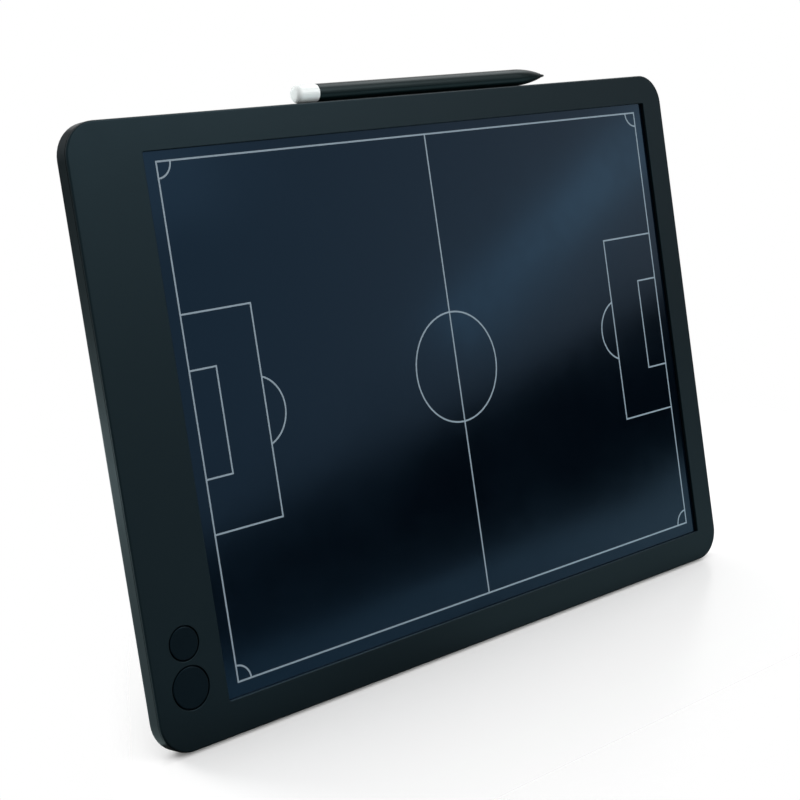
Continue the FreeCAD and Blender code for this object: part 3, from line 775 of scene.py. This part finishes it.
@dataclass(frozen=True)
class CrossScrew:
    """A pan-head screw with a cross recess and a helical thread, its head at Z 0 and above."""

    head_radius: float
    head_height: float
    shank_radius: float
    length: float
    edge_share: float = 0.45
    recess_length_share: float = 0.62
    recess_width_share: float = 0.17
    recess_depth_share: float = 0.62
    thread_pitch: float = 0.0006
    thread_depth_share: float = 0.16
    head_segments: int = 40
    thread_segments: int = 20
    rows_per_turn: int = 6

    def build(self, name: str) -> Piece:
        """Makes the screw.

        Args:
            name: The object's name.

        Returns:
            The screw, to be placed by its own matrix.
        """
        profile = [(0.0, 0.0), (self.head_radius, 0.0)]
        profile += rounded(self.head_radius, self.head_height, self.head_height * self.edge_share)
        profile.append((0.0, self.head_height))
        head = as_object(name, revolved(profile, self.head_segments))
        cutter = as_object(name + "_recess", self._recess())
        cut = head.modifiers.new("recess", "BOOLEAN")
        cut.operation = "DIFFERENCE"
        cut.solver = "EXACT"
        cut.object = cutter
        head = baked(head)
        bpy.data.objects.remove(cutter)
        whole = bmesh.new()
        whole.from_mesh(head.data)
        bpy.data.objects.remove(head)
        self._thread(whole)
        screw = as_object(name, whole)
        smooth_by_angle(screw)
        return screw

    def _recess(self) -> Shape:
        """Makes the tapered cross that the recess is cut with.

        Returns:
            The mesh of the cutter.
        """
        long = self.head_radius * self.recess_length_share
        wide = self.head_radius * self.recess_width_share
        floor = self.head_height * (1.0 - self.recess_depth_share)
        top = self.head_height + wide
        outline = []
        for quarter in range(4):
            turn = Matrix.Rotation(0.5 * math.pi * quarter, 2)
            outline += [turn @ Vector(point) for point in ((long, -wide), (long, wide), (wide, wide))]
        taper = 1.0 - self.recess_width_share
        shape = bmesh.new()
        low = [(*(point * taper), floor) for point in outline]
        high = [(*point, top) for point in outline]
        skin(shape, (low, high), True)
        return shape

    def _thread(self, shape: Shape) -> None:
        """Adds the threaded shank under the head.

        Args:
            shape: The mesh that it goes into.
        """
        rows = int(self.length / self.thread_pitch * self.rows_per_turn)
        depth = self.shank_radius * self.thread_depth_share
        rings = []
        for row in range(rows + 1):
            down = self.length * row / rows
            fade = min(1.0, (self.length - down) / self.thread_pitch)
            ring = []
            for step, (x, y, z) in enumerate(circle(1.0, -down, self.thread_segments)):
                phase = (down / self.thread_pitch + step / self.thread_segments) % 1.0
                crest = 1.0 - abs(2.0 * phase - 1.0)
                radius = self.shank_radius - depth * (1.0 - crest * fade)
                ring.append((radius * x, radius * y, z))
            rings.append(ring)
        skin(shape, rings, True)


@dataclass
class ScrewSet(SubAssembly):
    """All the screws of one CAD node, placed by a geometry tree."""

    node: str
    body: Body
    screw: CrossScrew
    seed: int

    def build(self) -> None:
        """Makes the set and puts it in its CAD node's place."""
        finish = self.palette.screw
        points = bmesh.new()
        for place in self._head_seats():
            points.verts.new(place)
        values = {
            "Facing": tuple(self.plane.facing_back(Vector()).to_euler("XYZ")),
            "Seed": self.seed,
            "Finish": finish.material(self.effects),
        }
        tree = bpy.data.node_groups.get("screws_on_points") or screw_tree()
        holder = as_object(self.node + "_heads", points)
        screws = patterned(holder, tree, self.screw.build(self.node + "_pattern"), values)
        self.settle(screws, self.body, finish, self.node)

    def _head_seats(self) -> Iterator[Vector]:
        """Finds the seat of each head in the CAD node.

        Yields:
            The places, each on its screw's axis under the head.
        """
        for corners in islands(self.node):
            low, high = self.plane.limits(corners)
            middle = 0.5 * (low + high)
            yield self.plane.point(middle.x, middle.y, low.z + self.screw.head_height)


@dataclass
class CaseShells(SubAssembly):
    """The bezel and the rear cover with the screws that hold them together."""

    screw: CrossScrew = CrossScrew(
        head_radius=0.002, head_height=0.0012, shank_radius=0.00105, length=0.005
    )
    seed: int = 4
    # Colour and reach of the painted highlight, a lighter band on the window's lower ledge that stands in for
    # light caught by the lip.
    ledge_highlight_colour: Colour = (0.015, 0.026, 0.036)
    ledge_highlight_reach: float = 0.00005
    film_lap: float = 0.004

    def build(self) -> None:
        """Makes the case screws."""
        case = (self.effects, self.palette, self.plane)
        ScrewSet(*case, "case_screws", Body.BOARD, self.screw, self.seed).build()

    def dress(self) -> None:
        """Gives the shells their moulded finish."""
        self.dress_nodes(self.palette.case, "front_bezel", "rear_cover")
        self.dress_nodes(self.palette.magnet, "pen_magnets")
        # The bezel's ledge under the film gets a painted highlight.
        self._paint_ledge_highlight()

    def _paint_ledge_highlight(self) -> None:
        """Gives the bezel a case finish of its own, with a painted highlight: a lighter band on the ledge
        under the film, standing in for the light that the window's lower lip catches.
        """
        material = self.palette.case.material(self.effects).copy()
        build = MaterialBuilder(material)
        place = build.place()
        low, high = self.plane.span("writing_film")
        half_width = 0.5 * (high.x - low.x) - self.film_lap
        width = build.near(place, self.plane.right, 0.5 * (low.x + high.x), half_width)
        ledge = build.near(place, self.plane.up, low.y + self.film_lap, self.ledge_highlight_reach)
        # Mask of the painted highlight: the lower ledge of the window, across the film's width.
        painted_highlight_mask = build.math("MULTIPLY", width, ledge)
        plain = build.shader.inputs["Base Color"].links[0].from_socket
        build.feed(build.shader, {"Base Color": build.blend(painted_highlight_mask, plain, opaque(self.ledge_highlight_colour))})
        frame["nodes"]["front_bezel"].data.materials[0] = material


@dataclass
class Screen(SubAssembly):
    """The writing film with its print and what carries it."""

    def dress(self) -> None:
        """Gives the film, the print and the sheets behind them their finishes."""
        self.dress_nodes(self.palette.film, "writing_film")
        self.dress_nodes(self.palette.ink, "pitch_markings")
        self.dress_nodes(self.palette.tape, "film_tape")
        self.dress_nodes(self.palette.backing, "backing_board")
        self.dress_nodes(self.palette.tail, "film_tail")


@dataclass
class Controls(SubAssembly):
    """The buttons, their switches and the circuit board."""

    def dress(self) -> None:
        """Gives the buttons and the circuit board's parts their finishes."""
        self.dress_nodes(self.palette.button, "erase_button", "lock_button")
        self.dress_nodes(self.palette.circuit, "control_board")
        self.dress_nodes(
            self.palette.component, "driver_chip", "boost_inductor", "erase_switch", "lock_switch"
        )
        self.dress_nodes(
            self.palette.pale, "storage_capacitor", "tail_connector", "erase_switch_stem", "lock_switch_stem"
        )
        self.dress_nodes(self.palette.steel, "board_screws")


@dataclass
class CellBay(SubAssembly):
    """The coin cell behind its door."""

    screw: CrossScrew = CrossScrew(
        head_radius=0.0018, head_height=0.0008, shank_radius=0.00085, length=0.004
    )
    seed: int = 9
    rim_radius: float = 0.0005
    crimp_share: float = 0.9
    crimp_step: float = 0.00012
    cap_share: float = 0.88
    cap_step: float = 0.00025
    segments: int = 96

    def build(self) -> None:
        """Makes the door's screws and the cell."""
        bay = (self.effects, self.palette, self.plane)
        ScrewSet(*bay, "battery_door_screws", Body.DOOR, self.screw, self.seed).build()
        self._cell()

    def _cell(self) -> None:
        """Makes the cell: a can with a rolled rim towards the door, and a smaller cap in front."""
        low, high = self.plane.span("coin_cell")
        radius = 0.5 * (high.x - low.x)
        thickness = high.z - low.z
        crimp = self.crimp_share * radius
        profile = [(0.0, 0.0), (self.cap_share * radius, 0.0), (self.cap_share * radius, self.cap_step)]
        rim = rounded(radius, thickness - self.cap_step, self.rim_radius)
        profile += [(r, thickness - z) for r, z in reversed(rim)]
        profile += rounded(radius, thickness - self.crimp_step, self.rim_radius)
        profile += [(crimp, thickness - self.crimp_step), (crimp - self.crimp_step, thickness)]
        profile.append((0.0, thickness))
        shape = revolved(profile, self.segments)
        middle = 0.5 * (low + high)
        shape.transform(self.plane.facing_back(self.plane.point(middle.x, middle.y, high.z)))
        cell = as_object("cell_can", shape)
        smooth_by_angle(cell)
        cell.data.materials.append(self.palette.steel.material(self.effects))
        self.settle(cell, Body.BOARD, self.palette.steel, "coin_cell")

    def dress(self) -> None:
        """Gives the door and the contacts their finishes."""
        self.dress_nodes(self.palette.case, "battery_door")
        self.dress_nodes(self.palette.contact, "cell_contact_positive", "cell_contact_negative")


@dataclass
class Stand(SubAssembly):
    """The fold-out leg with its hinge pin and ribbed rubber foot."""

    rib_width: float = 0.0012
    rib_pitch: float = 0.0022
    rib_bevel: float = 0.00025
    bevel_steps: int = 2
    groove_depth: float = 0.0003

    def build(self) -> None:
        """Makes the foot: a strip with a row of ribs across it."""
        low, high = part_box("stand_foot")
        corners = [vertex.co for vertex in frame["nodes"]["stand_foot"].data.vertices]
        middle = 0.5 * (low.z + high.z)
        bottom = [corner.y for corner in corners if corner.z < middle]
        top = [corner.y for corner in corners if corner.z > middle]
        outline = [(min(bottom), low.z), (max(bottom), low.z), (max(top), high.z), (min(top), high.z)]
        rib = self._bar("foot_rib", outline, -0.5 * self.rib_width, 0.5 * self.rib_width, 0.0)
        count = int((high.x - low.x - self.rib_width) / self.rib_pitch) + 1
        inset = self.rib_width - self.rib_bevel
        strip = self._bar("ribbed_foot", outline, low.x + inset, high.x - inset, self.groove_depth)
        values = {
            "Count": count,
            "Start": (-0.5 * self.rib_pitch * (count - 1), 0.0, 0.0),
            "Step": (self.rib_pitch, 0.0, 0.0),
            "Finish": self.palette.rubber.material(self.effects),
        }
        foot = patterned(strip, rib_tree(), rib, values)
        smooth_by_angle(foot)
        self.settle(foot, Body.LEG, self.palette.rubber, "stand_foot")

    def _bar(self, name: str, outline: Sequence[Point], start: float, end: float, inset: float) -> Piece:
        """Makes a bar along X with rounded edges.

        Args:
            name: The object's name.
            outline: Its section as points of (Y, Z).
            start: Its lowest X.
            end: Its highest X.
            inset: How far its front and back lie inside the section.

        Returns:
            The bar.
        """
        middle = sum(y for y, _ in outline) / len(outline)
        section = [(y - math.copysign(inset, y - middle), z) for y, z in outline]
        shape = bmesh.new()
        skin(shape, [[(x, y, z) for y, z in section] for x in (start, end)], True)
        bmesh.ops.bevel(
            shape, geom=shape.edges, affect="EDGES",
            offset=self.rib_bevel, segments=self.bevel_steps, profile=ROUND_PROFILE,
        )
        return as_object(name, shape)

    def dress(self) -> None:
        """Gives the leg and its pin their finishes."""
        self.dress_nodes(self.palette.case, "stand_leg")
        self.dress_nodes(self.palette.steel, "stand_hinge_pin")


@dataclass
class Stylus(SubAssembly):
    """The stylus on the top edge."""

    def dress(self) -> None:
        """Gives the stylus its finishes."""
        self.dress_nodes(self.palette.barrel, "stylus_barrel")
        self.dress_nodes(self.palette.cap, "stylus_cap")
        self.dress_nodes(self.palette.nib, "stylus_nib")
        self.dress_nodes(self.palette.steel, "stylus_keeper")


@dataclass(frozen=True)
class SoftBox:
    """A rectangular lamp that faces a point."""

    name: str
    place: Place
    target: Place
    size: Point
    radiance: float
    roll: float = 0.0
    colour: Colour = WHITE
    mirrored: bool = True

    def build(self) -> None:
        """Makes the lamp, hidden from the camera, and from reflections unless it is mirrored."""
        lamp = bpy.data.lights.new(self.name, "AREA")
        lamp.shape = "RECTANGLE"
        lamp.size, lamp.size_y = self.size
        lamp.color = self.colour
        lamp.energy = self.radiance * math.pi * self.size[0] * self.size[1]
        holder = bpy.data.objects.new(self.name, lamp)
        holder.location = self.place
        aim = (Vector(self.target) - Vector(self.place)).to_track_quat("-Z", "Y").to_matrix()
        holder.rotation_mode = "QUATERNION"
        holder.rotation_quaternion = (aim @ Matrix.Rotation(self.roll, 3, "Z")).to_quaternion()
        holder.visible_camera = False
        holder.visible_glossy = self.mirrored
        bpy.context.scene.collection.objects.link(holder)


@dataclass(frozen=True)
class Card:
    """A bright panel on the ground, its azimuth in degrees from X."""

    name: str
    centre: Point
    length: float
    width: float
    azimuth: float
    level: float
    colour: Colour = WHITE


@dataclass(frozen=True)
class Flag:
    """A dark upright panel, its azimuth in degrees from X, with the heights of its two ends."""

    name: str
    azimuth: float
    width: float
    heights: Point


@dataclass
class Studio:
    """The floor, the surroundings, the lamps and the camera."""

    floor_size: float = 2.4
    floor_colour: Colour = (0.97, 0.97, 0.97)
    floor_roughness: float = 0.25
    floor_strength: float = 0.9
    floor_fade: float = 0.16
    floor_slant: float = 0.655
    floor_left_gain: float = 5.0
    floor_left_inset: float = 0.026
    floor_right_reach: float = 0.06
    ground_size: float = 12.0
    ground_drop: float = 0.003
    ground_colour: Colour = (0.03, 0.03, 0.03)
    ground_roughness: float = 0.9
    card_drop: float = 0.002
    flag_distance: float = 2.7
    flag_colour: Colour = (0.005, 0.005, 0.005)
    flag_roughness: float = 1.0
    ambient: float = 0.85
    camera_place: Place = (-0.5424, -0.55975, 0.3212)
    camera_aim: Place = (0.657, 0.708, -0.26)
    camera_sensor: float = 36.0
    camera_lens: float = 77.535
    camera_shift: float = 0.00475
    camera_near: float = 0.01
    lamps: tuple[SoftBox, ...] = (
        SoftBox("key_lamp", (0.81, -1.3, 1.25), (0.0, 0.0, 0.13), (0.9, 0.9), 4.5),
        SoftBox("top_lamp", (1.05, 0.15, 1.42), (0.0, 0.0, 0.26), (0.8, 0.8), 2.8),
        SoftBox("left_lamp", (1.2, -2.08, 0.95), (0.0, 0.0, 0.23), (0.5, 0.5), 0.5),
        SoftBox(
            "strip_lamp", (1.9, -1.62, 0.5), (0.1, 0.0, 0.18), (0.62, 0.09), 1.3, 0.5, (0.5, 0.92, 1.1)
        ),
        SoftBox(
            "fill_lamp", (-0.34, 0.5, 0.3), (-0.1, 0.03, 0.26), (0.25, 0.25), 11.0, mirrored=False
        ),
    )
    flags: tuple[Flag, ...] = (
        Flag("low_flag", -47.0, 4.8, (-0.325, 0.79)),
        Flag("side_flag", -20.0, 1.2, (2.6, 2.6)),
        Flag("back_flag", 100.0, 2.2, (2.1, 0.3)),
    )
    cards: tuple[Card, ...] = (
        Card("front_card", (0.105, -0.322), 0.55, 0.28, -21.3, 0.6, (0.68, 0.97, 1.05)),
        Card("near_card", (0.311, -0.165), 0.274, 0.16, -21.3, 0.75, (0.68, 0.97, 1.05)),
        Card("rim_card", (0.17, -0.085), 0.3, 0.07, 0.0, 0.72, (0.75, 1.0, 1.0)),
        Card("right_card", (0.73, -0.49), 0.74, 0.42, -21.3, 0.9, (0.68, 0.97, 1.05)),
        Card("far_card", (1.98, -1.26), 2.1, 0.5, -37.6, 0.9, (0.68, 0.97, 1.05)),
        Card("left_card", (-0.42, 0.26), 0.2, 0.6, 133.0, 2.8, (0.85, 1.0, 1.0)),
        Card("side_card", (-0.255, 0.08), 0.25, 0.4, 133.0, 0.7, (0.8, 1.0, 1.0)),
        Card("dim_card", (-0.678, 0.534), 0.54, 0.8, 133.0, 0.29, (0.7, 1.0, 1.0)),
        Card("back_card", (0.44, 0.8), 1.6, 1.12, 90.0, 0.8),
    )

    def build(self) -> None:
        """Sets up everything round the object."""
        bpy.context.scene.view_settings.view_transform = "Standard"
        self._world()
        self._floor()
        self._ground()
        for flag in self.flags:
            self._flag(flag)
        for card in self.cards:
            self._card(card)
        for lamp in self.lamps:
            lamp.build()
        self._camera()

    @staticmethod
    def _panel(
        name: str, corners: Sequence[Vector], looks: dict[str, object], seen: bool = False
    ) -> MaterialBuilder:
        """Makes a stage panel.

        Args:
            name: The object's name.
            corners: Its corners in order.
            looks: Values by the names of its shader's inputs.
            seen: Whether the camera sees it.

        Returns:
            Its material's nodes.
        """
        shape = bmesh.new()
        shape.faces.new([shape.verts.new(corner) for corner in corners])
        panel = as_object(name, shape)
        panel.visible_camera = seen
        material = bpy.data.materials.new("stage_" + name)
        panel.data.materials.append(material)
        build = MaterialBuilder(material)
        build.feed(build.shader, looks)
        return build

    @staticmethod
    def _square(size: float, height: float) -> list[Vector]:
        """Gives the corners of a level square about the Z axis, with its side and height."""
        signs = ((-1, -1), (1, -1), (1, 1), (-1, 1))
        return [Vector((0.5 * size * x, 0.5 * size * y, height)) for x, y in signs]

    @staticmethod
    def _heading(azimuth: float) -> tuple[Vector, Vector]:
        """Gives the level direction with an azimuth in degrees, and the one to its left."""
        ahead = Vector((math.cos(math.radians(azimuth)), math.sin(math.radians(azimuth)), 0.0))
        return ahead, Vector((-ahead.y, ahead.x, 0.0))

    def _floor(self) -> None:
        """Makes the pale polished floor, which fades out round the board's footprint.

        On the left and on the right it fades along slanted lines, more quickly on the left.
        """
        looks = {"Base Color": opaque(self.floor_colour), "Roughness": self.floor_roughness}
        build = self._panel("floor", self._square(self.floor_size, 0.0), looks, seen=True)
        axes = build.add("ShaderNodeSeparateXYZ", {"Vector": build.place()}).outputs
        low, high = CAD_BOX
        aside = build.math("MULTIPLY_ADD", axes["Y"], -self.floor_slant, axes["X"])
        inside = build.math("SUBTRACT", low.x + self.floor_left_inset, aside)
        left = build.math("MULTIPLY", inside, self.floor_left_gain)
        right = build.math("SUBTRACT", aside, high.x + self.floor_right_reach)
        front = build.math("SUBTRACT", build.math("ABSOLUTE", axes["Y"]), high.y)
        across = build.math("MAXIMUM", build.math("MAXIMUM", left, right), 0.0)
        along = build.math("MAXIMUM", front, 0.0)
        square = build.math("MULTIPLY_ADD", along, along, build.math("MULTIPLY", across, across))
        limits = {
            "Value": build.math("SQRT", square),
            "From Max": self.floor_fade,
            "To Min": self.floor_strength,
            "To Max": 0.0,
        }
        fade = build.add("ShaderNodeMapRange", limits).outputs[0]
        seen = build.add("ShaderNodeLightPath").outputs["Is Camera Ray"]
        build.feed(build.shader, {"Alpha": build.math("MULTIPLY", fade, seen)})

    def _ground(self) -> None:
        """Makes the dark room below the horizon, which only reflections see."""
        looks = {"Base Color": opaque(self.ground_colour), "Roughness": self.ground_roughness}
        self._panel("ground", self._square(self.ground_size, -self.ground_drop), looks)

    def _card(self, card: Card) -> None:
        """Makes a bright card, which only reflections see.

        Args:
            card: Its place, size and level.
        """
        ahead, left = self._heading(card.azimuth)
        along = ahead * (0.5 * card.length)
        aside = left * (0.5 * card.width)
        middle = Vector((*card.centre, -self.card_drop))
        near, far = middle - aside, middle + aside
        looks = {
            "Base Color": opaque(BLACK),
            "Emission Color": opaque(card.colour),
            "Emission Strength": card.level,
        }
        self._panel(card.name, [near - along, near + along, far + along, far - along], looks)

    def _flag(self, flag: Flag) -> None:
        """Makes a dark flag, which only reflections see.

        Args:
            flag: Its place and size.
        """
        ahead, left = self._heading(flag.azimuth)
        start = ahead * self.flag_distance - left * (0.5 * flag.width)
        end = ahead * self.flag_distance + left * (0.5 * flag.width)
        rises = [Vector((0.0, 0.0, height)) for height in flag.heights]
        looks = {"Base Color": opaque(self.flag_colour), "Roughness": self.flag_roughness}
        self._panel(flag.name, [start, end, end + rises[1], start + rises[0]], looks)

    def _world(self) -> None:
        """Makes the white surroundings: full white where they are seen, plainer where they light."""
        world = bpy.data.worlds.new("studio")
        world.use_nodes = True
        bpy.context.scene.world = world
        build = NodeBuilder(world.node_tree)
        rays = build.add("ShaderNodeLightPath").outputs
        seen = build.math("MAXIMUM", rays["Is Camera Ray"], rays["Is Glossy Ray"])
        seen = build.math("MAXIMUM", seen, rays["Is Transmission Ray"])
        strength = build.math("MULTIPLY_ADD", seen, 1.0 - self.ambient, self.ambient)
        build.feed(build.tree.nodes["Background"], {"Color": opaque(WHITE), "Strength": strength})

    def _camera(self) -> None:
        """Sets the camera at the photograph's place."""
        lens = bpy.data.cameras.new("camera")
        lens.sensor_width = self.camera_sensor
        lens.lens = self.camera_lens
        lens.shift_y = self.camera_shift
        lens.clip_start = self.camera_near
        camera = bpy.data.objects.new("camera", lens)
        camera.location = self.camera_place
        camera.rotation_mode = "QUATERNION"
        camera.rotation_quaternion = Vector(self.camera_aim).to_track_quat("-Z", "Y")
        bpy.context.scene.collection.objects.link(camera)
        bpy.context.scene.camera = camera


def main() -> None:
    """Builds and dresses the sub-assemblies in order, then sets the studio up."""
    logging.basicConfig(level=logging.INFO, format="%(message)s")
    common = (SurfaceEffects(), Palette(), BoardPlane.from_frame())
    for kind in (CaseShells, Screen, Controls, CellBay, Stand, Stylus):
        LOG.info("%s", kind.__name__)
        part = kind(*common)
        part.build()
        part.dress()
    Studio().build()


if __name__ == "__main__":
    main()
